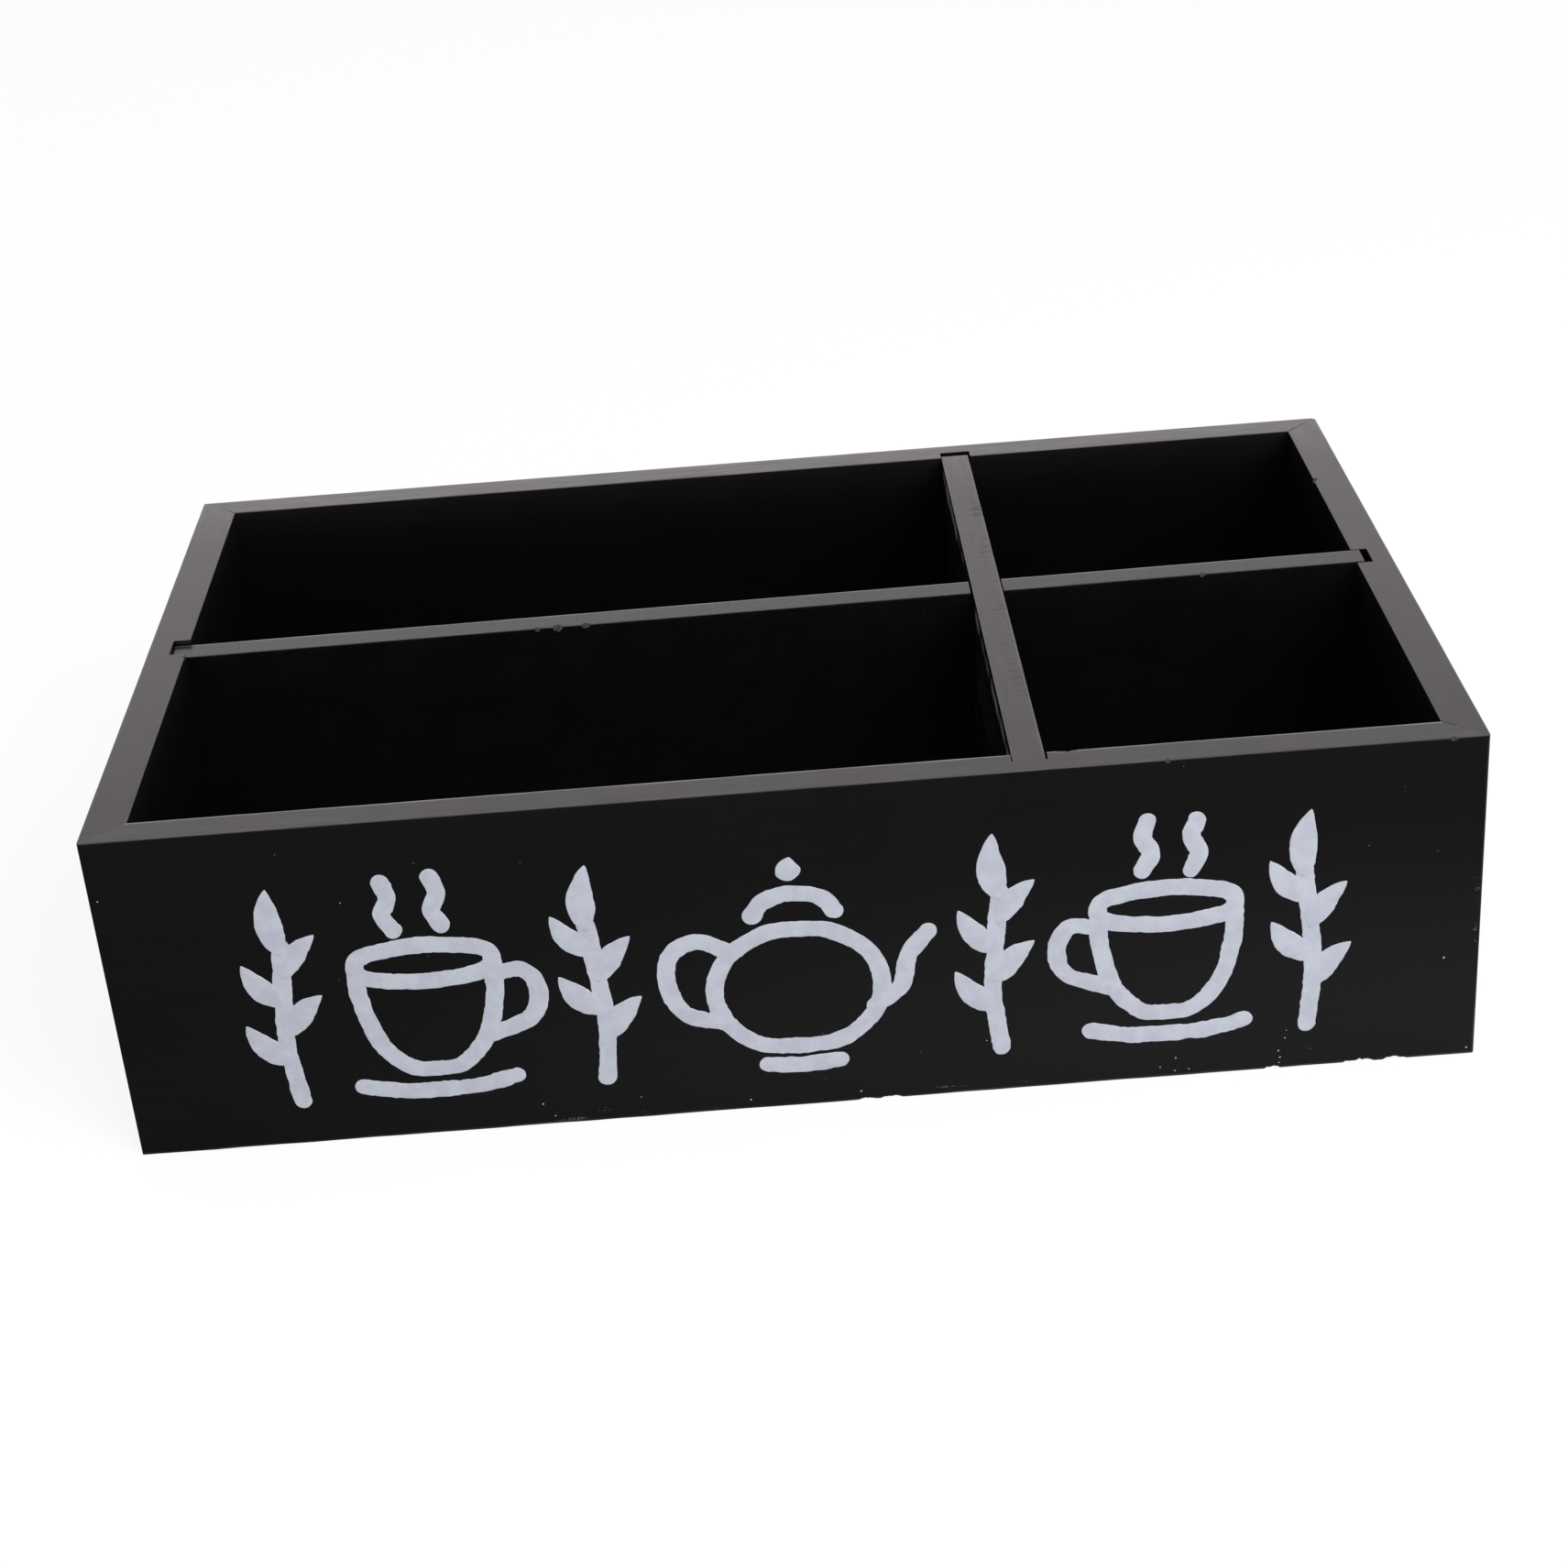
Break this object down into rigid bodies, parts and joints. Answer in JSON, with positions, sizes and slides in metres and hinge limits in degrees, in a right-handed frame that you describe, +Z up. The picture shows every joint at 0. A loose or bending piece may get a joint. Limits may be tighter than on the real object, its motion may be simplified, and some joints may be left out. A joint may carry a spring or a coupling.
{
  "type": "tea bag organizer",
  "caption": "Low open wooden box with mitred corners and crossed lift-out dividers that part it into compartments for tea bags and packets.",
  "frame": {"origin": "middle of the box's footprint, on the surface that it stands on", "axes": "+X to the right along the long side, +Y from the front wall to the back wall, +Z up"},
  "size_m": [0.3, 0.1876, 0.0805],
  "materials": {
    "painted_wood": "satin black paint on wood, with fine grain showing and small pale nicks",
    "painted_board": "thin board painted flat black",
    "brad_steel": "plain steel"
  },
  "bodies": {
    "box": {"front_wall": "painted_wood", "back_wall": "painted_wood", "left_wall": "painted_wood", "right_wall": "painted_wood", "bottom_panel": "painted_board", "front_left_brads": "brad_steel", "front_right_brads": "brad_steel", "back_left_brads": "brad_steel", "back_right_brads": "brad_steel"},
    "long_divider": {"long_divider": "painted_wood"},
    "cross_divider": {"cross_divider": "painted_wood"}
  },
  "joints": [
    {"name": "long_divider_lift", "type": "slide", "parent": "box", "child": "long_divider", "axis": [0, 0, 1], "range_m": [0, 0.085]},
    {"name": "cross_divider_lift", "type": "slide", "parent": "long_divider", "child": "cross_divider", "axis": [0, 0, 1], "range_m": [0, 0.085]}
  ]
}
